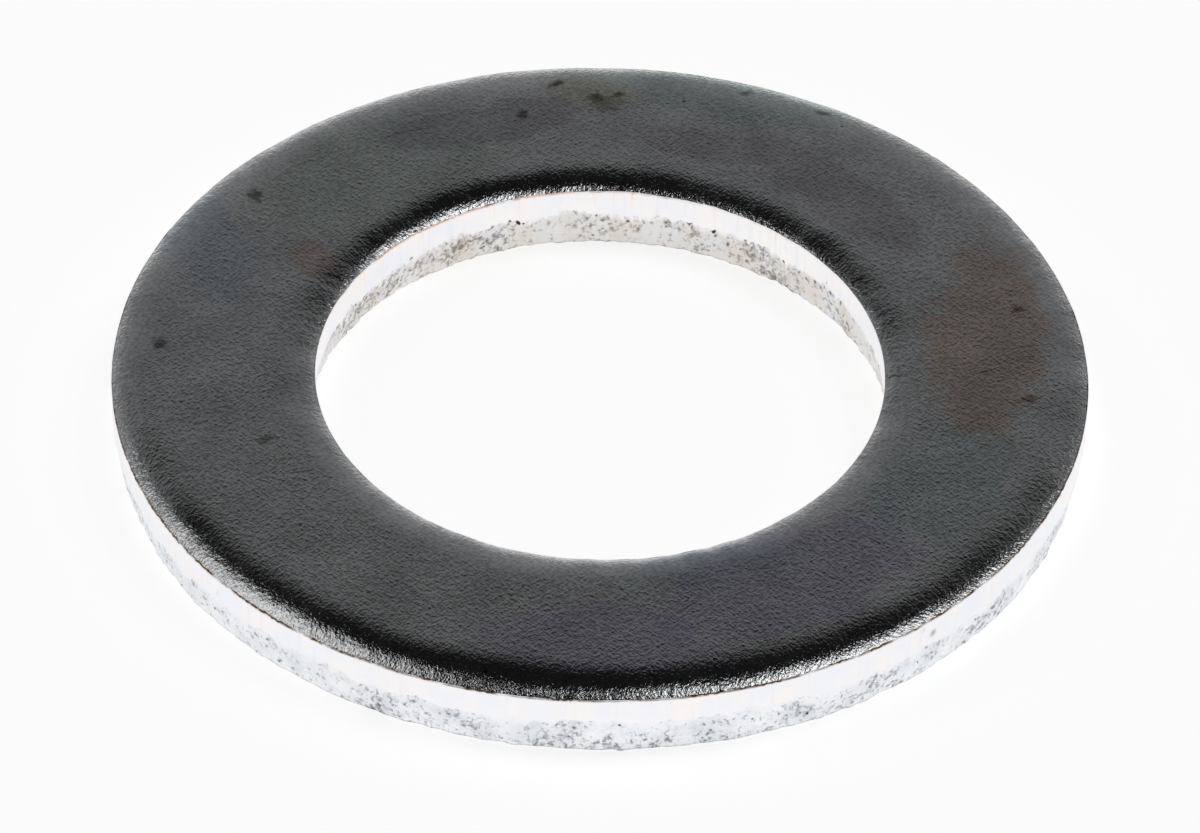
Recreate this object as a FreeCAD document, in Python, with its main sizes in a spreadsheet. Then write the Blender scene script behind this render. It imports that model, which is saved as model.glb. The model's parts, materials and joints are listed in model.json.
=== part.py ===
import FreeCAD, Part
import os
import Sketcher

# Plain flat washer for a 20 mm bolt, pressed from 3 mm steel strip and zinc plated.
#
# A compound die blanks the rim and pierces the bore in one stroke, so both cut walls have the same
# four zones, counted down from the top face:
#   roll    the strip is dragged down and rounds over before it is cut: a quarter ellipse
#   land    the punch burnishes a true cylinder
#   break   the rest tears away on a slant, into the metal
#   foot    the corner where the tear meets the flat bottom face
#
# Frame: millimetres, +Z up along the bore's axis, origin at the centre of the bottom face.

# The driving dimensions, in the order of the sheet's rows: name, millimetres, what it is.
SIZES = [
    ("outer_diameter", 36.5, "across the burnished land of the rim"),
    ("bore_diameter", 21.3, "across the burnished land of the bore"),
    ("thickness", 3.0, "strip thickness, bottom face to top face"),
    ("rim_roll_width", 1.8, "how far in from the rim the top face starts to round over"),
    ("rim_roll_drop", 0.3, "how far below the top face the rim's land starts"),
    ("rim_land_height", 1.15, "burnished length of the rim"),
    ("rim_break_taper", 0.28, "how far in the torn wall leans by the bottom face"),
    ("bore_roll_width", 1.6, "how far out from the bore the top face starts to round over"),
    ("bore_roll_drop", 0.28, "how far below the top face the bore's land starts"),
    ("bore_land_height", 1.0, "burnished length of the bore"),
    ("bore_break_taper", 0.31, "how far out the torn wall leans by the bottom face"),
]

# Edges of the section, in the order they are drawn, once round from the bottom face.
BOTTOM, RIM_BREAK, RIM_LAND, RIM_ROLL, TOP, BORE_ROLL, BORE_LAND, BORE_BREAK = range(8)
SECTION_EDGES = 8

# Sketcher's names for a place on an edge, and for its own axes and origin.
START, END, CENTRE = 1, 2, 3
ORIGIN = (-1, START)
RADIAL_AXIS = -1

QUARTER_TURN = 1.5707963267948966


def write_sheet(doc):
    """Put the driving dimensions in a spreadsheet, one row each: name, value with its alias, note."""
    sheet = doc.addObject("Spreadsheet::Sheet", "sizes")
    for row, (name, value, note) in enumerate(SIZES, start=1):
        sheet.set(f"A{row}", name)
        sheet.set(f"B{row}", str(value))
        sheet.setAlias(f"B{row}", name)
        sheet.set(f"C{row}", note)
    doc.recompute()
    return sheet


def origin_plane(body, role):
    """Return the body's own origin plane with this role."""
    return next(feature for feature in body.Origin.OriginFeatures if feature.Role == role)


def at(radius, height):
    """Return a point of the section: radius from the bore's axis, height above the bottom face."""
    return FreeCAD.Vector(radius, height, 0)


def draw_section(sketch, sheet):
    """Draw the eight edges of the section near their places; the constraints then size them."""
    rim = sheet.outer_diameter / 2
    bore = sheet.bore_diameter / 2
    top = sheet.thickness
    rim_foot = at(rim - sheet.rim_break_taper, 0)
    rim_land_top = at(rim, top - sheet.rim_roll_drop)
    rim_land_foot = at(rim, rim_land_top.y - sheet.rim_land_height)
    rim_roll_start = at(rim - sheet.rim_roll_width, top)
    bore_roll_start = at(bore + sheet.bore_roll_width, top)
    bore_land_top = at(bore, top - sheet.bore_roll_drop)
    bore_land_foot = at(bore, bore_land_top.y - sheet.bore_land_height)
    bore_foot = at(bore + sheet.bore_break_taper, 0)
    rim_ellipse = Part.Ellipse(
        at(rim_roll_start.x, rim_land_top.y), sheet.rim_roll_width, sheet.rim_roll_drop
    )
    bore_ellipse = Part.Ellipse(
        at(bore_roll_start.x, bore_land_top.y), sheet.bore_roll_width, sheet.bore_roll_drop
    )
    edges = {
        BOTTOM: Part.LineSegment(bore_foot, rim_foot),
        RIM_BREAK: Part.LineSegment(rim_foot, rim_land_foot),
        RIM_LAND: Part.LineSegment(rim_land_foot, rim_land_top),
        RIM_ROLL: Part.ArcOfEllipse(rim_ellipse, 0, QUARTER_TURN),
        TOP: Part.LineSegment(rim_roll_start, bore_roll_start),
        BORE_ROLL: Part.ArcOfEllipse(bore_ellipse, QUARTER_TURN, 2 * QUARTER_TURN),
        BORE_LAND: Part.LineSegment(bore_land_top, bore_land_foot),
        BORE_BREAK: Part.LineSegment(bore_land_foot, bore_foot),
    }
    for edge in range(SECTION_EDGES):
        sketch.addGeometry(edges[edge], False)


def lay_flat(sketch, roll):
    """Keep a roll's ellipse level, by a construction line along its long axis."""
    ellipse = sketch.Geometry[roll].Ellipse
    reach = FreeCAD.Vector(ellipse.MajorRadius, 0, 0)
    axis = sketch.addGeometry(Part.LineSegment(ellipse.Center - reach, ellipse.Center + reach), True)
    sketch.addConstraint(Sketcher.Constraint("InternalAlignment:EllipseMajorDiameter", axis, roll))
    sketch.addConstraint(Sketcher.Constraint("Horizontal", axis))


def shape_section(sketch):
    """Join the edges end to end and set the directions that no size can change."""
    for edge in range(SECTION_EDGES):
        following = (edge + 1) % SECTION_EDGES
        sketch.addConstraint(Sketcher.Constraint("Coincident", edge, END, following, START))
    for edge in (BOTTOM, TOP):
        sketch.addConstraint(Sketcher.Constraint("Horizontal", edge))
    for edge in (RIM_LAND, BORE_LAND):
        sketch.addConstraint(Sketcher.Constraint("Vertical", edge))
    sketch.addConstraint(Sketcher.Constraint("PointOnObject", BOTTOM, START, RADIAL_AXIS))
    for roll, land_end, top_end in ((RIM_ROLL, START, END), (BORE_ROLL, END, START)):
        sketch.addConstraint(Sketcher.Constraint("Horizontal", roll, CENTRE, roll, land_end))
        sketch.addConstraint(Sketcher.Constraint("Vertical", roll, CENTRE, roll, top_end))
        lay_flat(sketch, roll)


def dimension(sketch, name, direction, near, far, formula):
    """Add one named distance between two points of the section and bind it to the sheet."""
    reach = sketch.getPoint(*far) - sketch.getPoint(*near)
    drawn = reach.x if direction == "DistanceX" else reach.y
    index = sketch.addConstraint(Sketcher.Constraint(direction, *near, *far, drawn))
    sketch.renameConstraint(index, name)
    sketch.setExpression(f"Constraints.{name}", formula)


def size_section(sketch):
    """Bind every size of the section to its cell."""
    across, up = "DistanceX", "DistanceY"
    rim_centre, bore_centre = (RIM_ROLL, CENTRE), (BORE_ROLL, CENTRE)
    dimensions = [
        ("rim_radius", across, ORIGIN, (RIM_LAND, START), "sizes.outer_diameter / 2"),
        ("bore_radius", across, ORIGIN, (BORE_LAND, START), "sizes.bore_diameter / 2"),
        ("thickness", up, ORIGIN, (TOP, START), "sizes.thickness"),
        ("rim_roll_width", across, rim_centre, (RIM_ROLL, START), "sizes.rim_roll_width"),
        ("rim_roll_drop", up, rim_centre, (RIM_ROLL, END), "sizes.rim_roll_drop"),
        ("rim_land_height", up, (RIM_LAND, START), (RIM_LAND, END), "sizes.rim_land_height"),
        ("rim_break_taper", across, (RIM_BREAK, START), (RIM_BREAK, END), "sizes.rim_break_taper"),
        ("bore_roll_width", across, (BORE_ROLL, END), bore_centre, "sizes.bore_roll_width"),
        ("bore_roll_drop", up, bore_centre, (BORE_ROLL, START), "sizes.bore_roll_drop"),
        ("bore_land_height", up, (BORE_LAND, END), (BORE_LAND, START), "sizes.bore_land_height"),
        ("bore_break_taper", across, (BORE_BREAK, START), (BORE_BREAK, END), "sizes.bore_break_taper"),
    ]
    for name, direction, near, far, formula in dimensions:
        dimension(sketch, name, direction, near, far, formula)


def make_washer(doc, sheet):
    """Model the washer: its section, drawn on the XZ plane, turned once round the bore's axis."""
    body = doc.addObject("PartDesign::Body", "flat_washer")
    body.Label = "flat_washer"
    section = body.newObject("Sketcher::SketchObject", "section")
    section.AttachmentSupport = (origin_plane(body, "XZ_Plane"), [""])
    section.MapMode = "FlatFace"
    draw_section(section, sheet)
    shape_section(section)
    size_section(section)
    doc.recompute()
    turned = body.newObject("PartDesign::Revolution", "turned_section")
    turned.Profile = section
    turned.ReferenceAxis = (section, ["V_Axis"])
    turned.Angle = 360
    body.Tip = turned
    doc.recompute()
    return body


def check(doc, bodies):
    """Stop if any feature failed, if the section can still move, or if a body isn't one good solid."""
    for item in doc.Objects:
        if "Invalid" in item.State or "Error" in item.State:
            raise SystemExit(f"{item.Name} failed: {item.State}")
        if item.isDerivedFrom("Sketcher::SketchObject") and not item.FullyConstrained:
            raise SystemExit(f"{item.Name} isn't fully constrained")
    for body in bodies:
        if body.Shape.isNull() or not body.Shape.isValid() or len(body.Shape.Solids) != 1:
            raise SystemExit(f"{body.Label} isn't one valid solid")


def main():
    doc = FreeCAD.newDocument("washer")
    sheet = write_sheet(doc)
    bodies = [make_washer(doc, sheet)]
    check(doc, bodies)
    os.makedirs("parts", exist_ok=True)
    for body in bodies:
        body.Shape.exportStep(f"parts/{body.Label}.step")
        box = body.Shape.BoundBox
        print(f"{body.Label}: {box.XLength:.3f} x {box.YLength:.3f} x {box.ZLength:.3f} mm,"
              f" {body.Shape.Volume:.1f} mm3")


main()
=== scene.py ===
import json
import math

import bpy
import numpy as np
from mathutils import Matrix, Vector


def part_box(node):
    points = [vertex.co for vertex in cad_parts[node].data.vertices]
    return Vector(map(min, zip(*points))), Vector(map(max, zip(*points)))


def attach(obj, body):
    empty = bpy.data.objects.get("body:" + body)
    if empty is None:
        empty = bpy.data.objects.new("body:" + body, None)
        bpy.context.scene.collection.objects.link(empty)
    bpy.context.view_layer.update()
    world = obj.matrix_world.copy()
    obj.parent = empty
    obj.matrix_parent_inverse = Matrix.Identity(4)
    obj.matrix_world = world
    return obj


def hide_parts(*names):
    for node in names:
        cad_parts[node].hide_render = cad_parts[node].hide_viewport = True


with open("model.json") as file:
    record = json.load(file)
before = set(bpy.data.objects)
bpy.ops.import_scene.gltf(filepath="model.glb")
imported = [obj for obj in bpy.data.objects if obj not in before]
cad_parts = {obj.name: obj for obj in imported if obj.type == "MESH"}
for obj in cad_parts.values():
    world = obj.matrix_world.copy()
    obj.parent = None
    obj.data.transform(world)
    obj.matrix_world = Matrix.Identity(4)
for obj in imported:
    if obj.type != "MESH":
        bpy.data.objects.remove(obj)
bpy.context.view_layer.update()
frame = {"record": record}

# A plain flat washer, blanked and pierced from steel strip in one press stroke, then barrel plated
# with zinc. It lies on a pale lit table, with the face that the punches rounded over on top.
#
# Lengths are in millimetres until they reach Blender, which is given metres.

MM = 0.001
TURN = 2 * math.pi


# ---------------------------------------------------------------- sizes

def mount(name):
    """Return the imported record's mount of this name."""
    return next(m for m in frame["record"]["mounts"] if m["name"] == name)


washer_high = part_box("flat_washer")[1]
bolt_hole = mount("bolt_hole")

RIM_RADIUS = washer_high.x / MM
BORE_RADIUS = bolt_hole["dims"]["r_mm"]
THICKNESS = washer_high.z / MM
MEAN_RADIUS = (RIM_RADIUS + BORE_RADIUS) / 2

# The rolled edges: at its outermost, the top face hangs below its flat middle by the roll's drop.
RIM_ROLL_DROP = 0.30
RIM_ROLL_WIDTH = 2.0
BORE_ROLL_WIDTH = 1.75
ROLL_POWER = 3.0
RIM_WRINKLE_REACH = 0.95
BORE_WRINKLE_REACH = 0.85

# The burnished lands, with the crease that runs along the top of each.
RIM_LAND_HEIGHT = 1.15
RIM_LAND_TOP = THICKNESS - RIM_ROLL_DROP
RIM_LAND_FOOT = RIM_LAND_TOP - RIM_LAND_HEIGHT
BORE_LAND_TOP = bolt_hole["pos_m"][2] / MM + bolt_hole["dims"]["length_mm"] / 2
BORE_LAND_FOOT = bolt_hole["pos_m"][2] / MM - bolt_hole["dims"]["length_mm"] / 2
CREASE_WIDTH = 0.07
RIM_CREASE_DEPTH = 0.025
BORE_CREASE_DEPTH = 0.010

# The torn breaks: below its onset, each stands back from the land by the recess, and at its foot by
# the taper too, where a burr stands out again. The gap lifts the bottom face, so that the burr
# clears the table.
RIM_BREAK_TAPER = 0.28
BORE_BREAK_TAPER = 0.31
BREAK_POWER = 1.3
BREAK_RECESS = 0.012
BREAK_ONSET = 0.35
BURR_HEIGHT = 0.03
BURR_REACH = 0.2
FOOT_GAP = 0.025

# The unevenness of the metal, as the height of the waves on each kind of face, and how deep a pit
# or a nick has to be to be painted fully dark, as painted shade and dirt that deepen with it.
SWELL_HEIGHT = 0.0035
WRINKLE_HEIGHT = 0.0004
LAND_WAVE_HEIGHT = 0.0012
TORN_HEIGHT = 0.010
DARK_PIT = 0.06
DARK_NICK = 0.04

# Where the edges sit off their mean height, as the punch went in a little askew: the height in mm,
# the middle in degrees round the ring, and the tightness of each hump.
RIM_LAND_SINKS = [(0.155, 218, 3.4), (-0.05, 60, 1.5), (-0.05, 342, 9.0)]
BORE_LAND_RISES = [(0.05, 60, 2.0), (-0.05, 130, 8.0)]
BORE_FOOT_RISES = [(-0.22, 145, 6.0)]

RIM_NICKS = [  # degrees round, mm above the base, half width, half height and depth
    (312.4, 1.93, 0.20, 0.11, 0.05),
    (311.0, 2.45, 0.14, 0.07, 0.03),
    (310.1, 2.06, 0.09, 0.05, 0.03),
    (304.8, 0.55, 0.16, 0.10, 0.05),
    (221.0, 1.75, 0.12, 0.08, 0.03),
]

COLUMNS = 1056
ZONES = [  # in the order they follow round the section, from the corner at the foot of the bore
    ("bottom", 8),
    ("rim_break", 17),
    ("rim_land", 7),
    ("rim_crease", 3),
    ("rim_roll", 15),
    ("top", 10),
    ("bore_roll", 13),
    ("bore_crease", 3),
    ("bore_land", 6),
    ("bore_break", 12),
]
FINISH_OF_ZONE = {
    "bottom": "rolled", "rim_break": "torn", "rim_land": "burnished", "rim_crease": "burnished",
    "rim_roll": "rolled", "top": "rolled", "bore_roll": "rolled", "bore_crease": "burnished",
    "bore_land": "burnished", "bore_break": "torn",
}


# ---------------------------------------------------------------- waves and pits

def ring_waves(angle, longest, shortest, count, seed):
    """Sum of count cosines of the angle, with whole numbers of waves round the mean circle.

    Their lengths run evenly, by logarithm, from longest to shortest mm, and the sum has a standard
    deviation of about 1.
    """
    draw = np.random.default_rng(seed)
    lengths = longest * (shortest / longest) ** draw.random(count)
    waves = np.round(TURN * MEAN_RADIUS / lengths)
    phases = TURN * draw.random(count)
    total = np.zeros_like(angle)
    for wave, phase in zip(waves, phases):
        total += np.cos(wave * angle + phase)
    return total * math.sqrt(2 / count)


def skin_waves(angle, along, longest, shortest, count, seed, stretch=1.0):
    """Sum of count plane waves that cross the unrolled skin in random directions.

    Each is cos(n * angle + m * along + phase), n whole, so it closes on itself round the ring. A
    stretch above 1 lengthens the waves along the section by that much. Standard deviation about 1.
    """
    draw = np.random.default_rng(seed)
    lengths = longest * (shortest / longest) ** draw.random(count)
    headings = math.pi * draw.random(count)
    phases = TURN * draw.random(count)
    total = np.zeros_like(angle * along)
    for length, heading, phase in zip(lengths, headings, phases):
        round_waves = np.round(TURN * MEAN_RADIUS / length * math.cos(heading))
        along_rate = TURN / length * math.sin(heading) / stretch
        total += np.cos(round_waves * angle + along_rate * along + phase)
    return total * math.sqrt(2 / count)


def humps(angle, places):
    """Sum of smooth humps, each height * e ^ (tightness * (cos(angle - middle) - 1))."""
    total = np.zeros_like(angle)
    for height, middle, tightness in places:
        total += height * np.exp(tightness * (np.cos(angle - math.radians(middle)) - 1))
    return total


def dents(angle, along, places):
    """Depth of a set of oval dents, each depth * (1 - s^2)^2 where s, the share of its size, is < 1.

    Each place is an angle, a distance along the section, a radius to turn the angle into a length, a
    half width round the ring, a half height along the section, and a depth.
    """
    depth_here = np.zeros_like(angle * along)
    for centre, level, radius, half_width, half_height, depth in places:
        across = radius * (np.mod(angle - centre + math.pi, TURN) - math.pi) / half_width
        up = (along - level) / half_height
        depth_here = np.maximum(depth_here, depth * np.clip(1 - across ** 2 - up ** 2, 0, 1) ** 2)
    return depth_here


def scattered(count, seed, foot, head, radius, largest):
    """Draw places for count pits in the band of the section from foot to head.

    They are up to largest mm in half width, a little lower than wide, and about half as deep.
    """
    draw = np.random.default_rng(seed)
    half_width = largest * (0.55 + 0.45 * draw.random(count))
    columns = [TURN * draw.random(count), foot + (head - foot) * draw.beta(1.6, 2.0, count),
               np.full(count, radius), half_width, half_width * (0.6 + 0.3 * draw.random(count)),
               half_width * (0.35 + 0.25 * draw.random(count))]
    return list(zip(*columns))


def smooth(value, start, end):
    """Rise from 0 at start to 1 at end as 3 t^2 - 2 t^3."""
    t = np.clip((value - start) / (end - start), 0, 1)
    return t * t * (3 - 2 * t)


# ---------------------------------------------------------------- the section

def end_weighted(count):
    """Return count places from 0 up to 1, 1 left out, closer together at both ends."""
    t = np.arange(count) / count
    return (0.5 - 0.5 * np.cos(math.pi * t)) * 0.8 + t * 0.2


def straight(start, end, count):
    """Points on the line from start to end, each a radius and a height that may vary with angle."""
    t = end_weighted(count)[:, None]
    return [(1 - t) * start[i] + t * end[i] for i in (0, 1)]


def torn(land_foot, foot, count):
    """Points on a torn wall, from the foot of the land down to the bottom face.

    A share t of the way down, the wall stands back by taper * t ^ BREAK_POWER, so it leaves the
    land with no corner.
    """
    t = end_weighted(count)[:, None]
    radius = land_foot[0] + (foot[0] - land_foot[0]) * t ** BREAK_POWER
    return radius, land_foot[1] + (foot[1] - land_foot[1]) * t


def rolled(edge, land_top, width, side, count):
    """Points on a rolled-over edge, from the land up to the flat top face.

    A share q of the width in from the edge, the metal hangs below the top face by
    drop * (1 - q) ^ ROLL_POWER. The rows crowd towards the edge, as q = t ^ 2.
    """
    q = (np.arange(count)[:, None] / count) ** 2
    drop = THICKNESS - land_top
    return edge + side * width * q, THICKNESS - drop * (1 - q) ** ROLL_POWER


def upside_down(points):
    """The same points in the opposite order, with the first left for the next zone."""
    return [part[1:][::-1] for part in points]


def section_points(angle):
    """Return the radius and height of every point of the skin, and each row's zone.

    Each zone is a strip of rows between its two edges. The edges wander a little with the angle, by
    the mm in front of each set of waves. A roll's width wanders by a share of itself, and where the
    bore's land rises, its roll is narrower.
    """
    rows = dict(ZONES)
    flat = np.ones_like(angle)
    rim_edge = RIM_RADIUS * flat
    bore_edge = BORE_RADIUS * flat
    raised = humps(angle, BORE_LAND_RISES)
    rim_land_top = (RIM_LAND_TOP - humps(angle, RIM_LAND_SINKS)
                    + 0.010 * ring_waves(angle, 9, 1.5, 24, 11)
                    + 0.003 * ring_waves(angle, 1.0, 0.3, 40, 31))
    bore_land_top = (BORE_LAND_TOP + raised + 0.010 * ring_waves(angle, 9, 1.5, 24, 12)
                     + 0.003 * ring_waves(angle, 1.0, 0.3, 40, 32))
    rim_land_foot = (RIM_LAND_FOOT + 0.07 * ring_waves(angle, 30, 1.2, 40, 13)
                     + 0.030 * ring_waves(angle, 1.0, 0.3, 40, 33))
    bore_land_foot = (BORE_LAND_FOOT + humps(angle, BORE_FOOT_RISES)
                      + 0.07 * ring_waves(angle, 30, 1.2, 40, 14)
                      + 0.035 * ring_waves(angle, 1.0, 0.3, 40, 34))
    rim_roll = RIM_ROLL_WIDTH * (1 + 0.04 * ring_waves(angle, 25, 3, 16, 15))
    bore_roll = BORE_ROLL_WIDTH * (1 - raised + 0.04 * ring_waves(angle, 25, 3, 16, 16))
    rim_foot = RIM_RADIUS - RIM_BREAK_TAPER + 0.025 * ring_waves(angle, 12, 0.5, 40, 17)
    bore_foot = BORE_RADIUS + BORE_BREAK_TAPER + 0.025 * ring_waves(angle, 12, 0.5, 40, 18)

    corners = {
        "bore_foot": (bore_foot, FOOT_GAP * flat),
        "rim_foot": (rim_foot, FOOT_GAP * flat),
        "rim_land_foot": (rim_edge, rim_land_foot),
        "rim_crease_foot": (rim_edge, rim_land_top - CREASE_WIDTH),
        "rim_land_top": (rim_edge, rim_land_top),
        "rim_roll_start": (RIM_RADIUS - rim_roll, THICKNESS * flat),
        "bore_roll_start": (BORE_RADIUS + bore_roll, THICKNESS * flat),
        "bore_land_top": (bore_edge, bore_land_top),
        "bore_crease_foot": (bore_edge, bore_land_top - CREASE_WIDTH),
        "bore_land_foot": (bore_edge, bore_land_foot),
    }

    def line(name, start, end):
        return straight(corners[start], corners[end], rows[name])

    strips = {
        "bottom": line("bottom", "bore_foot", "rim_foot"),
        "rim_break": upside_down(torn(corners["rim_land_foot"], corners["rim_foot"],
                                      rows["rim_break"] + 1)),
        "rim_land": line("rim_land", "rim_land_foot", "rim_crease_foot"),
        "rim_crease": line("rim_crease", "rim_crease_foot", "rim_land_top"),
        "rim_roll": rolled(RIM_RADIUS, rim_land_top, rim_roll, -1, rows["rim_roll"]),
        "top": line("top", "rim_roll_start", "bore_roll_start"),
        "bore_roll": upside_down(rolled(BORE_RADIUS, bore_land_top, bore_roll, 1,
                                        rows["bore_roll"] + 1)),
        "bore_crease": line("bore_crease", "bore_land_top", "bore_crease_foot"),
        "bore_land": line("bore_land", "bore_crease_foot", "bore_land_foot"),
        "bore_break": torn(corners["bore_land_foot"], corners["bore_foot"], rows["bore_break"]),
    }
    radius = np.concatenate([strips[name][0] * flat for name, _ in ZONES])
    height = np.concatenate([strips[name][1] * flat for name, _ in ZONES])
    zone = np.concatenate([np.full(count, i) for i, (_, count) in enumerate(ZONES)])
    return radius, height, zone


def outward(points):
    """Unit normals of a closed grid of points: the cross product of its two tangents."""
    round_tangent = np.roll(points, -1, 1) - np.roll(points, 1, 1)
    section_tangent = np.roll(points, -1, 0) - np.roll(points, 1, 0)
    normal = np.cross(round_tangent, section_tangent)
    return normal / np.linalg.norm(normal, axis=2, keepdims=True)


def in_zone(zone, *names):
    """1 on the rows of the named zones, 0 elsewhere, as a column."""
    wanted = [i for i, (name, _) in enumerate(ZONES) if name in names]
    return np.isin(zone, wanted).astype(float)[:, None]


def first_row(name):
    """Return the number of a zone's first row."""
    names = [zone_name for zone_name, _ in ZONES]
    return sum(count for _, count in ZONES[:names.index(name)])


def section_distances(radius, height, zone):
    """Measure the section in mm: how far it is walked to each point, and from there to the edges.

    The walk starts at the foot of the bore and goes under the washer, up the rim, over the top and
    down the bore. On each half of it, from_crease grows towards the middle of the top face,
    below_land down the torn wall, and above_base up it.
    """
    step = np.hypot(np.diff(radius, axis=0), np.diff(height, axis=0))
    walked = np.concatenate([np.zeros_like(radius[:1]), np.cumsum(step, 0)])
    whole = walked[-1] + np.hypot(radius[-1] - radius[0], height[-1] - height[0])
    on_rim = np.arange(len(zone))[:, None] < first_row("top") + dict(ZONES)["top"] // 2
    from_crease = np.where(on_rim, walked - walked[first_row("rim_roll")],
                           walked[first_row("bore_crease")] - walked)
    below_land = np.where(on_rim, walked[first_row("rim_land")] - walked,
                          walked - walked[first_row("bore_break")])
    above_base = np.where(on_rim, walked - walked[first_row("rim_break")], whole - walked)
    above_base = np.where(in_zone(zone, "bottom") > 0, 0, above_base)
    return walked, on_rim, from_crease, below_land, above_base


def pits_and_nicks(angle, along, walked):
    """Return the depth of the pits that opened in the torn walls, and of the knocks on the rim."""
    rim_base = along[first_row("rim_break")]
    bore_base = along[-1]
    pits = dents(angle, along, scattered(60, 41, rim_base + 0.1, rim_base + 1.5, RIM_RADIUS, 0.13)
                 + scattered(90, 42, bore_base - 0.1, bore_base - 1.6, BORE_RADIUS, 0.12))
    nicks = dents(angle, walked, [
        (math.radians(degrees), walked[first_row("rim_break")] + level, RIM_RADIUS, width, tall, deep)
        for degrees, level, width, tall, deep in RIM_NICKS])
    return pits, nicks


def washer_skin():
    """Return the washer's points in mm, as rows by columns, the fields and vectors that its
    materials read, and each row's place along the section and zone.

    The section's points are moved outwards by the relief: long swells on the rolled faces with fine
    wrinkles towards their edges, faint waves on the lands, a groove at each crease, and a rough
    recess on the torn walls with the burr at their foot. Pits and nicks are taken off that.
    """
    angle = np.arange(COLUMNS)[None, :] / COLUMNS * TURN
    radius, height, zone = section_points(angle)
    walked, on_rim, from_crease, below_land, above_base = section_distances(radius, height, zone)
    along = walked.mean(1)[:, None]
    points = np.stack([radius * np.cos(angle), radius * np.sin(angle), height], 2)

    faces = in_zone(zone, "bottom", "top", "rim_roll", "bore_roll")
    lands = in_zone(zone, "rim_land", "bore_land")
    breaks = in_zone(zone, "rim_break", "bore_break")
    creases = in_zone(zone, "rim_crease", "bore_crease")
    creases[[first_row("rim_crease"), first_row("bore_crease")]] = 0
    from_edge = np.minimum((RIM_RADIUS - radius) / RIM_WRINKLE_REACH,
                           (radius - BORE_RADIUS) / BORE_WRINKLE_REACH)
    stretched = faces * (height > THICKNESS / 2) * (1 - smooth(from_edge, 0.1, 1.0))
    torn_in = breaks * smooth(below_land, 0.0, BREAK_ONSET)
    groove = np.where(on_rim, RIM_CREASE_DEPTH, BORE_CREASE_DEPTH)
    pits, nicks = pits_and_nicks(angle, along, walked)

    relief = faces * SWELL_HEIGHT * skin_waves(angle, along, 9, 2.5, 60, 21)
    relief += stretched * WRINKLE_HEIGHT * skin_waves(angle, along, 0.6, 0.25, 90, 22, 2.0)
    relief += lands * LAND_WAVE_HEIGHT * ring_waves(angle, 3, 0.3, 40, 23)
    relief -= creases * groove * (1 + 0.3 * ring_waves(angle, 3, 0.4, 30, 25))
    relief += torn_in * (TORN_HEIGHT * skin_waves(angle, along, 1.6, 0.3, 90, 24) - BREAK_RECESS)
    relief += breaks * BURR_HEIGHT * (1 - smooth(above_base, 0.02, BURR_REACH))
    relief -= pits + nicks
    points = points + outward(points) * relief[:, :, None]

    # The far side of the bore has begun to rust, and dirt has settled in its crease on the left of
    # that. Dirt fills the whole of the rim's crease.
    everywhere = np.ones_like(angle * along)
    worst_rust = 0.5 + 0.5 * np.cos(angle - math.radians(85))
    rusty = np.clip(0.3 + 0.6 * worst_rust + 0.15 * ring_waves(angle, 9, 2, 20, 51), 0, 1)
    bore_grime = 0.65 * np.clip(1.75 * np.cos(angle - math.radians(125)) - 0.75, 0, 1)
    fields = {
        "stretched": stretched,
        # pitted darkens the pits and nicks by their depth: painted shade, and dirt in them.
        "pitted": np.clip(pits / DARK_PIT + nicks / DARK_NICK, 0, 1),
        "rusty": np.where(on_rim, 0, rusty * everywhere),
        "grimed": np.where(on_rim, 0.95, bore_grime * everywhere),
    }
    ring_radius = np.where(on_rim, RIM_RADIUS, BORE_RADIUS)
    vectors = {
        "unrolled": [ring_radius * np.cos(angle), ring_radius * np.sin(angle), along * everywhere],
        "edges": [from_crease, below_land, above_base],
    }
    return points, fields, vectors, along, zone


# ---------------------------------------------------------------- meshes

def grid_faces(rows, columns):
    """Corner indices of a grid closed both ways, as one row of four for each face, seen outward."""
    row = np.arange(rows)[:, None]
    column = np.arange(columns)[None, :]
    next_row = (row + 1) % rows
    next_column = (column + 1) % columns
    corners = [row * columns + column, row * columns + next_column,
               next_row * columns + next_column, next_row * columns + column]
    return np.stack(corners, 2).reshape(-1, 4)


def strip_map(along, columns):
    """Map the skin to the square as two stacked strips, one for each half of the ring.

    u runs round the ring and v along the section, so the cuts are the corner at the foot of the bore
    and two lines straight across.
    """
    rows = len(along)
    edge = np.append(along[:, 0], 2 * along[-1, 0] - along[-2, 0])
    edge = edge / edge[-1]
    gap = 0.01
    half = columns // 2
    row = np.arange(rows)[:, None]
    column = np.arange(columns)[None, :]
    strip = column // half
    corners = []
    for row_step, column_step in ((0, 0), (0, 1), (1, 1), (1, 0)):
        u = gap + (1 - 2 * gap) * (column - strip * half + column_step) / half
        v = (strip + gap + (1 - 2 * gap) * edge[row + row_step]) / 2
        corners.append(np.stack([u * np.ones_like(row), v], 2))
    return np.stack(corners, 2).reshape(-1, 2)


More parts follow.
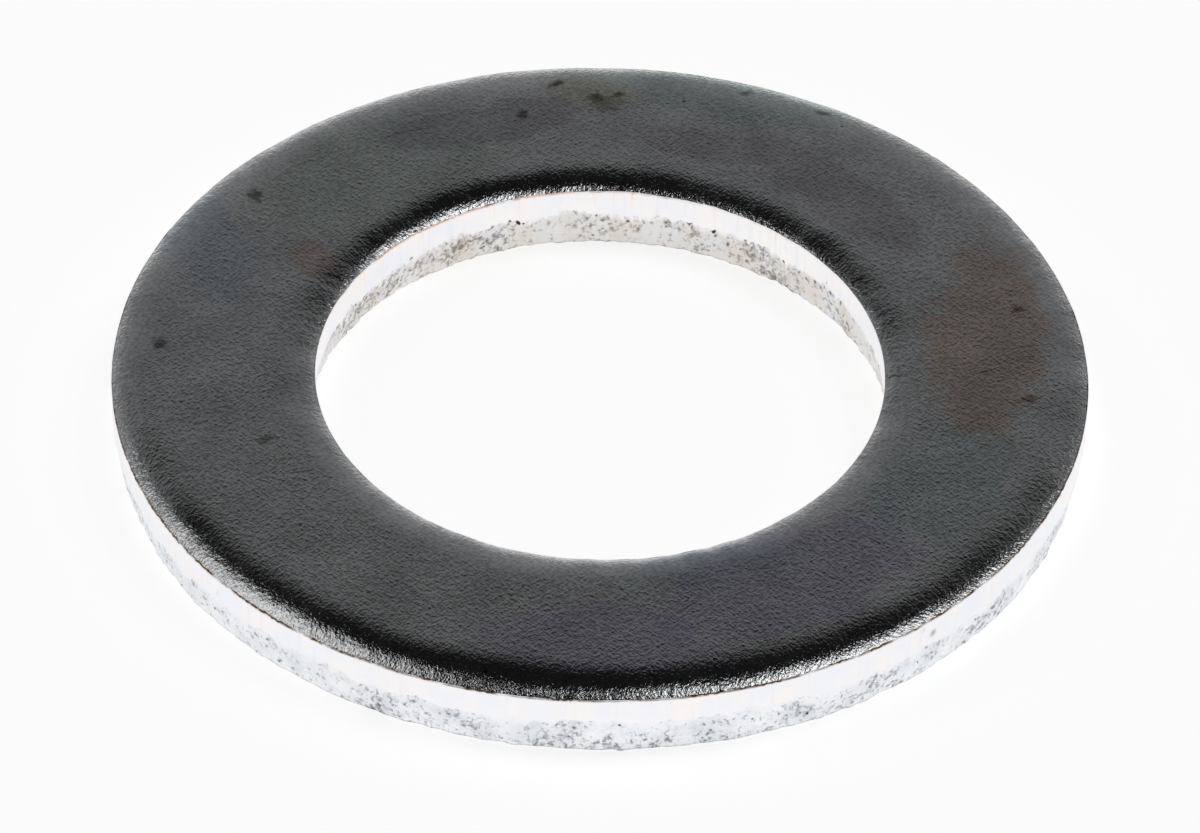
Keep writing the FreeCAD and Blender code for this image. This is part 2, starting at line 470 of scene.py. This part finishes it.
def build_washer(materials):
    """Make the washer's object from its skin, with its fields, its map and a material for each zone."""
    points, fields, vectors, along, zone = washer_skin()
    rows, columns = points.shape[:2]
    mesh = bpy.data.meshes.new("flat_washer_skin")
    mesh.from_pydata((points * MM).reshape(-1, 3), [], grid_faces(rows, columns))
    for name, field in fields.items():
        attribute = mesh.attributes.new(name, "FLOAT", "POINT")
        attribute.data.foreach_set("value", field.astype(np.float32).ravel())
    for name, parts in vectors.items():
        attribute = mesh.attributes.new(name, "FLOAT_VECTOR", "POINT")
        attribute.data.foreach_set("vector", np.stack(parts, 2).astype(np.float32).ravel())
    mapped = mesh.uv_layers.new(name="OFBake")
    mapped.uv.foreach_set("vector", strip_map(along, columns).astype(np.float32).ravel())
    for material in materials.values():
        mesh.materials.append(material)
    slots = list(materials)
    slot_of_zone = np.array([slots.index(FINISH_OF_ZONE[name]) for name, _ in ZONES])
    face_slots = np.repeat(slot_of_zone[zone], columns)
    mesh.polygons.foreach_set("material_index", face_slots.astype(np.int32))
    mesh.polygons.foreach_set("use_smooth", np.ones(len(face_slots), bool))
    mesh.update()
    washer = bpy.data.objects.new("washer", mesh)
    bpy.context.scene.collection.objects.link(washer)
    return washer


# ---------------------------------------------------------------- materials

FACTOR, BELOW, ABOVE, MIXED = 0, 6, 7, 2  # the sockets of a Mix node that mixes colours


def linear(hex_colour):
    """Turn an sRGB hex colour into linear RGBA."""
    channels = [int(hex_colour[i:i + 2], 16) / 255 for i in (0, 2, 4)]
    return [c / 12.92 if c <= 0.04045 else ((c + 0.055) / 1.055) ** 2.4 for c in channels] + [1.0]


def add(tree, kind, inputs=None, **settings):
    """Add a node, apply its settings, then set each input to a value or link it to a socket."""
    node = tree.nodes.new(kind)
    for name, value in settings.items():
        setattr(node, name, value)
    for name, value in (inputs or {}).items():
        if isinstance(value, bpy.types.NodeSocket):
            tree.links.new(value, node.inputs[name])
        else:
            node.inputs[name].default_value = value
    return node


def new_material(name):
    """Return a material with an empty node tree, and that tree."""
    material = bpy.data.materials.new(name)
    material.use_nodes = True
    material.node_tree.nodes.clear()
    return material, material.node_tree


def per_metre(length_mm):
    """Return the noise scale whose cells are about this long on Object coordinates."""
    return 1 / (length_mm * MM)


def specks(tree, where, spacing, share, size):
    """Mask of round specks, about spacing apart, of about this radius, on that share of the places.

    Lengths are in the units of where. Each Voronoi cell draws three numbers: the first decides
    whether it has a speck, the second makes its radius a half to one and a half of size, and the
    third fades it.
    """
    cells = add(tree, "ShaderNodeTexVoronoi", {"Vector": where, "Scale": 1 / spacing})
    draws = add(tree, "ShaderNodeSeparateColor", {0: cells.outputs["Color"]})
    chosen = add(tree, "ShaderNodeMath", {0: draws.outputs[0], 1: share}, operation="LESS_THAN")
    rim = add(tree, "ShaderNodeMath",
              {0: draws.outputs[1], 1: size / spacing, 2: 0.5 * size / spacing},
              operation="MULTIPLY_ADD")
    core = add(tree, "ShaderNodeMath", {0: rim.outputs[0], 1: 0.5}, operation="MULTIPLY")
    dot = add(tree, "ShaderNodeMapRange",
              {"Value": cells.outputs["Distance"], "From Min": rim.outputs[0],
               "From Max": core.outputs[0]}, interpolation_type="SMOOTHSTEP")
    strength = add(tree, "ShaderNodeMapRange", {"Value": draws.outputs[2], "To Min": 0.25})
    strength = add(tree, "ShaderNodeMath", {0: strength.outputs[0], 1: chosen.outputs[0]},
                   operation="MULTIPLY")
    return add(tree, "ShaderNodeMath", {0: dot.outputs[0], 1: strength.outputs[0]},
               operation="MULTIPLY").outputs[0]


def grimed_crease(tree, skin, from_crease, below):
    """Lay the brown line of dirt and rust along the corner between the rolled edge and the land.

    It wanders a little off the corner, comes and goes along it, and has a paler rusty border.
    """
    wander = add(tree, "ShaderNodeTexNoise", {"Vector": skin, "Scale": 1 / 0.2, "Detail": 4.0})
    off = add(tree, "ShaderNodeMath", {0: wander.outputs["Fac"], 1: 0.15, 2: from_crease},
              operation="MULTIPLY_ADD")
    off = add(tree, "ShaderNodeMath", {0: off.outputs[0], 1: 0.06}, operation="SUBTRACT")
    off = add(tree, "ShaderNodeMath", {0: off.outputs[0]}, operation="ABSOLUTE")
    gaps = add(tree, "ShaderNodeTexNoise", {"Vector": skin, "Scale": 1 / 1.1, "Detail": 5.0})
    rusty = add(tree, "ShaderNodeAttribute", attribute_name="rusty").outputs["Fac"]
    grimed = add(tree, "ShaderNodeAttribute", attribute_name="grimed").outputs["Fac"]
    kept = add(tree, "ShaderNodeMapRange",
               {"Value": gaps.outputs["Fac"], "From Min": 0.38, "From Max": 0.54})
    strength = add(tree, "ShaderNodeMath", {0: kept.outputs[0], 1: grimed}, operation="MULTIPLY")
    colour = below
    for width, share, tone, rust_tone in ((0.13, 0.35, "d8b594", "ecd0b4"),
                                          (0.065, 1.0, "241a13", "c7a17e")):
        line = add(tree, "ShaderNodeMapRange",
                   {"Value": off.outputs[0], "From Min": width, "From Max": width * 0.4,
                    "To Max": share}, interpolation_type="SMOOTHSTEP")
        line = add(tree, "ShaderNodeMath", {0: line.outputs[0], 1: strength.outputs[0]},
                   operation="MULTIPLY")
        dirt = add(tree, "ShaderNodeMix",
                   {FACTOR: rusty, BELOW: linear(tone), ABOVE: linear(rust_tone)}, data_type="RGBA")
        colour = add(tree, "ShaderNodeMix",
                     {FACTOR: line.outputs[0], BELOW: colour, ABOVE: dirt.outputs[MIXED]},
                     data_type="RGBA").outputs[MIXED]
    return colour


STAINS = [  # tint, strength, centre, half width and half length in mm, turn in degrees
    ("ffeadc", 0.95, (14.5, 2.0), (2.3, 5.4), -3),
    ("ffe2d6", 0.50, (-11.0, 6.0), (0.9, 1.1), 20),
    ("f4fbf6", 0.90, (-8.5, 11.5), (6.0, 3.2), 38),
    ("f1fdfb", 0.80, (12.6, -6.2), (2.6, 3.6), -25),
    ("f1f8ff", 0.80, (-15.3, 7.2), (1.7, 4.4), 25),
    ("f3efff", 0.85, (7.0, -11.8), (5.6, 2.7), 30),
    ("f4f0ff", 0.70, (0.4, -15.4), (4.8, 1.9), 0),
    ("eef7fb", 0.70, (4.3, -11.2), (3.6, 1.1), 16),
    ("f7f8e6", 0.80, (-0.6, 16.4), (2.1, 0.9), -10),
    ("eefaf8", 0.80, (4.8, 16.3), (4.6, 1.4), -14),
    ("d8d4da", 0.55, (8.9, 10.6), (4.9, 1.5), -48),
    ("d4d0da", 0.60, (-4.6, 14.3), (4.2, 1.2), 20),
    ("ddd9e0", 0.50, (3.7, 13.3), (3.2, 1.0), -12),
]
SPOTS = [  # tint, strength, centre, half width and half length in mm, turn in degrees
    ("6a6259", 0.85, (-1.9, 16.9), (0.42, 0.16), 40),
    ("6a6259", 0.75, (-0.4, 16.1), (0.22, 0.26), 60),
    ("6a6259", 0.70, (0.5, 16.3), (0.24, 0.14), 20),
    ("8a8270", 0.50, (0.0, 15.7), (0.60, 0.55), 0),
    ("78706a", 0.75, (-3.2, 14.9), (0.20, 0.28), 0),
    ("78706a", 0.70, (5.4, 16.6), (0.26, 0.14), 20),
    ("7d6252", 0.70, (8.4, 15.5), (0.26, 0.15), -20),
    ("77706c", 0.75, (-16.5, 0.7), (0.26, 0.32), 20),
    ("706a50", 0.70, (-13.3, 9.6), (0.26, 0.36), 0),
    ("7a6150", 0.70, (15.7, 3.8), (0.30, 0.22), 10),
    ("7d5a48", 0.60, (16.0, -1.4), (0.30, 0.22), 10),
    ("6e6663", 0.60, (-12.3, -4.6), (0.34, 0.20), 30),
    ("54504e", 0.80, (14.35, 0.15), (0.34, 0.045), 20),
    ("54504e", 0.60, (-9.6, -5.2), (0.50, 0.035), -20),
    ("54504e", 0.60, (-10.9, -6.4), (0.60, 0.030), 12),
    ("54504e", 0.60, (3.4, -13.4), (0.55, 0.030), 40),
    ("54504e", 0.55, (10.2, -9.6), (0.70, 0.030), -35),
    ("54504e", 0.55, (-7.4, 13.8), (0.65, 0.030), 15),
]


def marked(tree, place, ragged, eaten, softness, mark, below):
    """Multiply a colour by one mark's tint, inside an oval whose outline the ragged noise eats into.

    The tint fades over softness, a share of the oval's size, on each side of the outline.
    """
    tint, strength, (x, y), (half_width, half_length), turn = mark
    oval = add(tree, "ShaderNodeMapping",
               {"Vector": place, "Location": (x * MM, y * MM, 0),
                "Rotation": (0, 0, math.radians(turn)),
                "Scale": (half_width * MM, half_length * MM, 1)}, vector_type="TEXTURE")
    reach = add(tree, "ShaderNodeVectorMath", {0: oval.outputs[0]}, operation="LENGTH")
    reach = add(tree, "ShaderNodeMath", {0: ragged, 1: eaten, 2: reach.outputs["Value"]},
                operation="MULTIPLY_ADD")
    outline = 0.95 + eaten / 2  # the noise averages a half
    share = add(tree, "ShaderNodeMapRange",
                {"Value": reach.outputs[0], "From Min": outline + softness,
                 "From Max": outline - softness, "To Max": strength},
                interpolation_type="SMOOTHSTEP")
    return add(tree, "ShaderNodeMix",
               {FACTOR: share.outputs[0], BELOW: below, ABOVE: linear(tint)},
               data_type="RGBA", blend_type="MULTIPLY").outputs[MIXED]


def scuffed_grain(tree, place):
    """Sum of three noises, each 0 to 1: a round grain and two sets of short scuffs that cross.

    The real grain is under 0.1 mm across. It is drawn as coarse as it needs to show.
    """
    grain = add(tree, "ShaderNodeTexNoise",
                {"Vector": place, "Scale": per_metre(0.13), "Detail": 2.0, "Roughness": 0.6,
                 "Distortion": 0.8}).outputs["Fac"]
    for turn in (52, -46):
        scuffs_at = add(tree, "ShaderNodeMapping",
                        {"Vector": place, "Rotation": (0, 0, math.radians(turn)),
                         "Scale": (2.2, 1, 1)}, vector_type="TEXTURE")
        scuffs = add(tree, "ShaderNodeTexNoise",
                     {"Vector": scuffs_at.outputs[0], "Scale": per_metre(0.11), "Detail": 1.0})
        grain = add(tree, "ShaderNodeMath", {0: grain, 1: scuffs.outputs["Fac"]},
                    operation="ADD").outputs[0]
    return grain


def strip_relief(tree, skin, grain):
    """Bump of the grain, and of the fine wrinkles that opened where the metal was stretched.

    The wrinkles are two sets that cross, each twice as long up the section as across it.
    """
    grain_height, wrinkle_height = 0.0085, 0.018
    height = add(tree, "ShaderNodeMath", {0: grain, 1: grain_height}, operation="MULTIPLY").outputs[0]
    stretched = add(tree, "ShaderNodeAttribute", attribute_name="stretched").outputs["Fac"]
    up_the_section = add(tree, "ShaderNodeSeparateXYZ", {0: skin}).outputs["Z"]
    for lean in (0.026, -0.026):  # radians a mm: 25 degrees off the radius at the rim, 15 at the bore
        twist = add(tree, "ShaderNodeMath", {0: up_the_section, 1: lean}, operation="MULTIPLY")
        twisted = add(tree, "ShaderNodeVectorRotate",
                      {"Vector": skin, "Angle": twist.outputs[0]}, rotation_type="Z_AXIS")
        wrinkles_at = add(tree, "ShaderNodeMapping",
                          {"Vector": twisted.outputs[0], "Scale": (1, 1, 0.5)})
        wrinkles = add(tree, "ShaderNodeTexNoise",
                       {"Vector": wrinkles_at.outputs[0], "Scale": 1 / 0.10, "Detail": 2.0,
                        "Roughness": 0.6})
        wrinkled = add(tree, "ShaderNodeMath", {0: wrinkles.outputs["Fac"], 1: stretched},
                       operation="MULTIPLY")
        height = add(tree, "ShaderNodeMath", {0: wrinkled.outputs[0], 1: wrinkle_height, 2: height},
                     operation="MULTIPLY_ADD").outputs[0]
    return add(tree, "ShaderNodeBump", {"Height": height, "Distance": MM}).outputs[0]


def strip_colour(tree, place, grain, ragged):
    """Clouded zinc, darker in the grain's hollows, with its stains, spots and freckles on it."""
    clouds = add(tree, "ShaderNodeTexNoise",
                 {"Vector": place, "Scale": per_metre(2.6), "Detail": 5.0, "Roughness": 0.62})
    tone = add(tree, "ShaderNodeMapRange",
               {"Value": clouds.outputs["Fac"], "From Min": 0.3, "From Max": 0.7})
    colour = add(tree, "ShaderNodeMix",
                 {FACTOR: tone.outputs[0], BELOW: linear("c8cacc"), ABOVE: linear("e2e4e6")},
                 data_type="RGBA").outputs[MIXED]
    hollow = add(tree, "ShaderNodeMapRange",
                 {"Value": grain, "From Min": 1.65, "From Max": 1.25, "To Max": 0.5})
    colour = add(tree, "ShaderNodeMix",
                 {FACTOR: hollow.outputs[0], BELOW: colour, ABOVE: linear("c4c4c6")},
                 data_type="RGBA", blend_type="MULTIPLY").outputs[MIXED]
    for stain in STAINS:
        colour = marked(tree, place, ragged, 1.3, 0.2, stain, colour)
    frayed = add(tree, "ShaderNodeTexNoise",
                 {"Vector": place, "Scale": per_metre(0.25), "Detail": 3.0, "Roughness": 0.7})
    for spot in SPOTS:
        colour = marked(tree, place, frayed.outputs["Fac"], 2.4, 0.65, spot, colour)
    freckles = specks(tree, place, 1.0 * MM, 0.22, 0.07 * MM)
    return add(tree, "ShaderNodeMix",
               {FACTOR: freckles, BELOW: colour, ABOVE: linear("77706b")},
               data_type="RGBA").outputs[MIXED]


def zinc_on_rolled_strip():
    """Zinc over rolled strip, scuffed in the barrel: a dull mirror with a fine leathery grain.

    Towards the edges, where the metal was stretched, it opens into radial wrinkles that glitter.
    """
    material, tree = new_material("zinc_on_rolled_strip")
    place = add(tree, "ShaderNodeTexCoord").outputs["Object"]
    skin = add(tree, "ShaderNodeAttribute", attribute_name="unrolled").outputs["Vector"]
    edges = add(tree, "ShaderNodeAttribute", attribute_name="edges").outputs["Vector"]
    from_crease = add(tree, "ShaderNodeSeparateXYZ", {0: edges}).outputs["X"]

    grain = scuffed_grain(tree, place)
    ragged = add(tree, "ShaderNodeTexNoise",
                 {"Vector": place, "Scale": per_metre(1.6), "Detail": 4.0,
                  "Roughness": 0.6}).outputs["Fac"]
    colour = strip_colour(tree, place, grain, ragged)
    colour = grimed_crease(tree, skin, from_crease, colour)
    roughness = add(tree, "ShaderNodeMapRange",
                    {"Value": ragged, "From Min": 0.3, "From Max": 0.7,
                     "To Min": 0.09, "To Max": 0.14})
    shader = add(tree, "ShaderNodeBsdfPrincipled",
                 {"Base Color": colour, "Metallic": 1.0, "Roughness": roughness.outputs[0],
                  "Normal": strip_relief(tree, skin, grain)})
    add(tree, "ShaderNodeOutputMaterial", {"Surface": shader.outputs[0]})
    return material


def zinc_on_burnished_land():
    """Bright zinc over steel that the punch ironed smooth: near white, with faint upright lines.

    In the bore, pale rust has run down from the crease along some of the lines.
    """
    material, tree = new_material("zinc_on_burnished_land")
    skin = add(tree, "ShaderNodeAttribute", attribute_name="unrolled").outputs["Vector"]
    edges = add(tree, "ShaderNodeAttribute", attribute_name="edges").outputs["Vector"]
    edges = add(tree, "ShaderNodeSeparateXYZ", {0: edges})
    rusty = add(tree, "ShaderNodeAttribute", attribute_name="rusty").outputs["Fac"]
    pitted = add(tree, "ShaderNodeAttribute", attribute_name="pitted").outputs["Fac"]

    upright = add(tree, "ShaderNodeMapping", {"Vector": skin, "Scale": (1, 1, 0.06)})
    lines = add(tree, "ShaderNodeTexNoise",
                {"Vector": upright.outputs[0], "Scale": 1 / 0.25, "Detail": 4.0, "Roughness": 0.6})
    clouds = add(tree, "ShaderNodeTexNoise", {"Vector": skin, "Scale": 1 / 1.3, "Detail": 3.0})
    cool = add(tree, "ShaderNodeMapRange",
               {"Value": clouds.outputs["Fac"], "From Min": 0.38, "From Max": 0.62})
    colour = add(tree, "ShaderNodeMix",
                 {FACTOR: cool.outputs[0], BELOW: linear("f5f6fb"), ABOVE: linear("fbf8f7")},
                 data_type="RGBA").outputs[MIXED]
    streak = add(tree, "ShaderNodeMapRange",
                 {"Value": lines.outputs["Fac"], "From Min": 0.55, "From Max": 0.72,
                  "To Max": 0.35})
    colour = add(tree, "ShaderNodeMix",
                 {FACTOR: streak.outputs[0], BELOW: colour, ABOVE: linear("e3e5ea")},
                 data_type="RGBA").outputs[MIXED]
    run = add(tree, "ShaderNodeMapRange",
              {"Value": lines.outputs["Fac"], "From Min": 0.40, "From Max": 0.3, "To Max": 0.55})
    run = add(tree, "ShaderNodeMath", {0: run.outputs[0], 1: rusty}, operation="MULTIPLY")
    fading = add(tree, "ShaderNodeMapRange",
                 {"Value": edges.outputs["X"], "From Min": -0.9, "From Max": -0.1, "To Min": 0.15})
    run = add(tree, "ShaderNodeMath", {0: run.outputs[0], 1: fading.outputs[0]},
              operation="MULTIPLY")
    colour = add(tree, "ShaderNodeMix",
                 {FACTOR: run.outputs[0], BELOW: colour, ABOVE: linear("f2d6bf")},
                 data_type="RGBA").outputs[MIXED]
    stray = specks(tree, skin, 0.5, 0.12, 0.045)
    # Where pits and nicks reach the land, they are darkened by their depth: painted shade and dirt.
    stray = add(tree, "ShaderNodeMath", {0: stray, 1: pitted}, operation="MAXIMUM")
    colour = add(tree, "ShaderNodeMix",
                 {FACTOR: stray.outputs[0], BELOW: colour, ABOVE: linear("7f7168")},
                 data_type="RGBA").outputs[MIXED]
    colour = grimed_crease(tree, skin, edges.outputs["X"], colour)
    relief = add(tree, "ShaderNodeBump",
                 {"Height": lines.outputs["Fac"], "Distance": 0.003 * MM})
    shader = add(tree, "ShaderNodeBsdfPrincipled",
                 {"Base Color": colour, "Metallic": 1.0, "Roughness": 0.28,
                  "Normal": relief.outputs[0]})
    add(tree, "ShaderNodeOutputMaterial", {"Surface": shader.outputs[0]})
    return material


def torn_metal(tree, torn_grain, clouds, torn_off, rusty):
    """Mottled pale grey, beige where it is rusty, and near white where it isn't torn off yet."""
    tone = add(tree, "ShaderNodeMath", {0: torn_grain, 1: 0.6, 2: clouds}, operation="MULTIPLY_ADD")
    tone = add(tree, "ShaderNodeMapRange",
               {"Value": tone.outputs[0], "From Min": 0.6, "From Max": 1.0})
    colour = add(tree, "ShaderNodeMix",
                 {FACTOR: tone.outputs[0], BELOW: linear("e2e5ea"), ABOVE: linear("f9fafc")},
                 data_type="RGBA").outputs[MIXED]
    stain = add(tree, "ShaderNodeMapRange", {"Value": clouds, "From Min": 0.2, "From Max": 0.6})
    stain = add(tree, "ShaderNodeMath", {0: stain.outputs[0], 1: rusty}, operation="MULTIPLY")
    colour = add(tree, "ShaderNodeMix",
                 {FACTOR: stain.outputs[0], BELOW: colour, ABOVE: linear("e1dcd5")},
                 data_type="RGBA").outputs[MIXED]
    return add(tree, "ShaderNodeMix",
               {FACTOR: torn_off, BELOW: linear("f7f7fa"), ABOVE: colour},
               data_type="RGBA").outputs[MIXED]


def torn_pits(tree, skin, below_land, grain_colour, torn_off, rusty):
    """How deep it is pitted, from 0: crowds of fine pits, lone ones, and rusty ones near the land.

    The lone and the rusty ones are round specks, bent out of shape by the grain's colour.
    """
    drawn_out = add(tree, "ShaderNodeMapping", {"Vector": skin, "Scale": (1, 1, 0.85)}).outputs[0]
    fine = add(tree, "ShaderNodeTexNoise",
               {"Vector": drawn_out, "Scale": 1 / 0.2, "Detail": 3.0, "Roughness": 0.65,
                "Distortion": 0.5})
    crowded = add(tree, "ShaderNodeTexNoise",
                  {"Vector": skin, "Scale": 1 / 2.0, "Detail": 3.0, "Roughness": 0.6})
    crowded = add(tree, "ShaderNodeMath",
                  {0: crowded.outputs["Fac"], 1: 0.5, 2: fine.outputs["Fac"]},
                  operation="MULTIPLY_ADD")
    crowded = add(tree, "ShaderNodeMath", {0: torn_off, 1: 0.12, 2: crowded.outputs[0]},
                  operation="MULTIPLY_ADD")
    crowds = add(tree, "ShaderNodeMapRange",
                 {"Value": crowded.outputs[0], "From Min": 0.90, "From Max": 1.08,
                  "To Max": 0.65})
    bent = add(tree, "ShaderNodeVectorMath", {0: grain_colour, 1: (0.12, 0.12, 0.12), 2: drawn_out},
               operation="MULTIPLY_ADD").outputs[0]
    lone = add(tree, "ShaderNodeMath", {0: specks(tree, bent, 0.34, 0.28, 0.065), 1: torn_off},
               operation="MULTIPLY")
    by_the_land = add(tree, "ShaderNodeMapRange",
                      {"Value": below_land, "From Min": 0.9, "From Max": 0.2, "To Max": 1.8})
    rusted = add(tree, "ShaderNodeMath", {0: by_the_land.outputs[0], 1: rusty},
                 operation="MULTIPLY")
    rusted = add(tree, "ShaderNodeMath",
                 {0: rusted.outputs[0], 1: specks(tree, bent, 0.30, 0.45, 0.085)},
                 operation="MULTIPLY")
    depth = add(tree, "ShaderNodeMath", {0: crowds.outputs[0], 1: lone.outputs[0]},
                operation="MAXIMUM")
    return add(tree, "ShaderNodeMath", {0: depth.outputs[0], 1: rusted.outputs[0]},
               operation="MAXIMUM").outputs[0]


def zinc_on_torn_steel():
    """Zinc over steel that tore away under the punch: a matt pale grey with dark pits.

    The pits' darkness is painted shade and dirt, deeper in the deeper pits. In the bore the pits have
    begun to rust, and stain the zinc round them. A faint brown line follows the burr.
    """
    material, tree = new_material("zinc_on_torn_steel")
    skin = add(tree, "ShaderNodeAttribute", attribute_name="unrolled").outputs["Vector"]
    edges = add(tree, "ShaderNodeAttribute", attribute_name="edges").outputs["Vector"]
    edges = add(tree, "ShaderNodeSeparateXYZ", {0: edges})
    below_land, above_base = edges.outputs["Y"], edges.outputs["Z"]
    rusty = add(tree, "ShaderNodeAttribute", attribute_name="rusty").outputs["Fac"]
    pitted = add(tree, "ShaderNodeAttribute", attribute_name="pitted").outputs["Fac"]

    grain = add(tree, "ShaderNodeTexNoise",
                {"Vector": skin, "Scale": 1 / 0.14, "Detail": 4.0, "Roughness": 0.65})
    torn_grain = grain.outputs["Fac"]
    clouds = add(tree, "ShaderNodeTexNoise",
                 {"Vector": skin, "Scale": 1 / 1.2, "Detail": 4.0,
                  "Roughness": 0.6}).outputs["Fac"]
    torn_off = add(tree, "ShaderNodeMath", {0: clouds, 1: -1.6, 2: below_land},
                   operation="MULTIPLY_ADD")
    torn_off = add(tree, "ShaderNodeMath", {0: torn_grain, 1: 0.8, 2: torn_off.outputs[0]},
                   operation="MULTIPLY_ADD")
    torn_off = add(tree, "ShaderNodeMapRange",
                   {"Value": torn_off.outputs[0], "From Min": -0.50, "From Max": -0.05},
                   interpolation_type="SMOOTHSTEP").outputs[0]

    colour = torn_metal(tree, torn_grain, clouds, torn_off, rusty)
    depth = torn_pits(tree, skin, below_land, grain.outputs["Color"], torn_off, rusty)
    depth = add(tree, "ShaderNodeMath", {0: depth, 1: pitted}, operation="MAXIMUM").outputs[0]
    # Painted shade and dirt: the pits darken with their depth, to grey, or to brown where they rust.
    dark = add(tree, "ShaderNodeMix",
               {FACTOR: rusty, BELOW: linear("4a4c52"), ABOVE: linear("66492f")}, data_type="RGBA")
    colour = add(tree, "ShaderNodeMix",
                 {FACTOR: depth, BELOW: colour, ABOVE: dark.outputs[MIXED]},
                 data_type="RGBA").outputs[MIXED]
    ragged = add(tree, "ShaderNodeMath", {0: torn_grain, 1: 0.16, 2: above_base},
                 operation="MULTIPLY_ADD")
    burr = add(tree, "ShaderNodeMapRange",
               {"Value": ragged.outputs[0], "From Min": 0.16, "From Max": 0.08})
    burr = add(tree, "ShaderNodeMath", {0: burr.outputs[0], 1: clouds}, operation="MULTIPLY")
    colour = add(tree, "ShaderNodeMix",
                 {FACTOR: burr.outputs[0], BELOW: colour, ABOVE: linear("6f5747")},
                 data_type="RGBA").outputs[MIXED]

    pit_depth, grain_height = 0.03, 0.012
    height = add(tree, "ShaderNodeMath", {0: depth, 1: -pit_depth}, operation="MULTIPLY")
    height = add(tree, "ShaderNodeMath", {0: torn_grain, 1: grain_height, 2: height.outputs[0]},
                 operation="MULTIPLY_ADD")
    relief = add(tree, "ShaderNodeBump", {"Height": height.outputs[0], "Distance": MM})
    roughness = add(tree, "ShaderNodeMapRange", {"Value": depth, "To Min": 0.38, "To Max": 0.8})
    shader = add(tree, "ShaderNodeBsdfPrincipled",
                 {"Base Color": colour, "Metallic": 1.0, "Roughness": roughness.outputs[0],
                  "Normal": relief.outputs[0]})
    add(tree, "ShaderNodeOutputMaterial", {"Surface": shader.outputs[0]})
    return material


# ---------------------------------------------------------------- the table, light and camera

def lay_table():
    """Make the table that the washer lies on: opal acrylic lit from below, an even matt white."""
    reach = 2.0
    glow = 0.68
    mesh = bpy.data.meshes.new("table")
    mesh.from_pydata([(-reach, -reach, 0), (reach, -reach, 0), (reach, reach, 0), (-reach, reach, 0)],
                     [], [(0, 1, 2, 3)])
    table = bpy.data.objects.new("table", mesh)
    bpy.context.scene.collection.objects.link(table)
    material, tree = new_material("opal_acrylic_light_table")
    shader = add(tree, "ShaderNodeBsdfPrincipled",
                 {"Base Color": linear("f4f4f4"), "Roughness": 0.9, "Specular IOR Level": 0.0,
                  "Emission Color": (1, 1, 1, 1), "Emission Strength": glow})
    add(tree, "ShaderNodeOutputMaterial", {"Surface": shader.outputs[0]})
    mesh.materials.append(material)


# Brightness of the room by elevation, in degrees: a white sweep that fades out, then a dark ceiling.
ROOM = [(0, 0.88), (2, 0.82), (5, 0.56), (8, 0.50), (13, 0.40), (19, 0.27), (29, 0.205), (36.5, 0.175),
        (38.3, 0.163), (43.2, 0.159), (45.1, 0.03), (47, 0.012), (52, 0.008)]


def light_room():
    """Make the room's own light, which depends only on how high above the horizon one looks."""
    world = bpy.data.worlds.new("studio")
    world.use_nodes = True
    tree = world.node_tree
    tree.nodes.clear()
    heading = add(tree, "ShaderNodeTexCoord").outputs["Generated"]
    rise = add(tree, "ShaderNodeSeparateXYZ", {0: heading}).outputs["Z"]
    ramp = add(tree, "ShaderNodeValToRGB", {"Fac": rise})
    stops = ramp.color_ramp.elements
    while len(stops) < len(ROOM):
        stops.new(0.5)
    for stop, (elevation, brightness) in zip(stops, ROOM):
        stop.position = math.sin(math.radians(elevation))
        stop.color = (brightness, brightness, brightness, 1)
    background = add(tree, "ShaderNodeBackground", {"Color": ramp.outputs["Color"]})
    add(tree, "ShaderNodeOutputWorld", {"Surface": background.outputs[0]})
    bpy.context.scene.world = world


SOFTBOX_DISTANCE = 0.6
SOFTBOXES = [  # name, heading from the washer, width and height in metres, radiance and tint
    ("left_softbox", (-0.61, 0.08, 0.79), 0.35, 0.35, 0.98, (1.0, 0.99, 0.98)),
    ("right_softbox", (0.56, 0.12, 0.82), 0.27, 0.27, 1.30, (1.0, 1.0, 1.0)),
    ("top_softbox", (0.32, 0.05, 0.95), 0.20, 0.22, 1.50, (1.0, 1.0, 1.0)),
]


def hang_softbox(name, heading, width, height, radiance, tint):
    """Hang a rectangular lamp that way from the washer, facing it. Radiance is power over pi area."""
    lamp = bpy.data.lights.new(name, "AREA")
    lamp.shape = "RECTANGLE"
    lamp.size = width
    lamp.size_y = height
    lamp.energy = radiance * math.pi * width * height
    lamp.color = tint
    softbox = bpy.data.objects.new(name, lamp)
    towards = Vector(heading).normalized()
    softbox.location = towards * SOFTBOX_DISTANCE
    softbox.rotation_mode = "QUATERNION"
    softbox.rotation_quaternion = towards.to_track_quat("Z", "Y")
    softbox.visible_camera = False
    bpy.context.scene.collection.objects.link(softbox)


def place_camera():
    """Aim a long lens at the washer from 40 degrees up, tilted a little as if set by hand."""
    elevation = math.radians(40.478)
    roll = math.radians(1.232)
    target = Vector((0.031, 0.600, 0)) * MM
    distance = 356.94 * MM
    back = Vector((0, -math.cos(elevation), math.sin(elevation)))
    level = Vector((1, 0, 0))
    rise = back.cross(level)
    right = math.cos(roll) * level + math.sin(roll) * rise
    up = -math.sin(roll) * level + math.cos(roll) * rise
    lens = bpy.data.cameras.new("camera")
    lens.sensor_width = 36
    lens.lens = 284.64
    lens.clip_start = 0.01
    camera = bpy.data.objects.new("camera", lens)
    turn = Matrix((right, up, back)).transposed().to_4x4()
    camera.matrix_world = Matrix.Translation(target + distance * back) @ turn
    bpy.context.scene.collection.objects.link(camera)
    bpy.context.scene.camera = camera


# ---------------------------------------------------------------- make it

place_camera()
lay_table()
light_room()
for softbox in SOFTBOXES:
    hang_softbox(*softbox)
bpy.context.scene.view_settings.view_transform = "Standard"

washer = build_washer({
    "rolled": zinc_on_rolled_strip(),
    "burnished": zinc_on_burnished_land(),
    "torn": zinc_on_torn_steel(),
})
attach(washer, "root")
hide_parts("flat_washer")
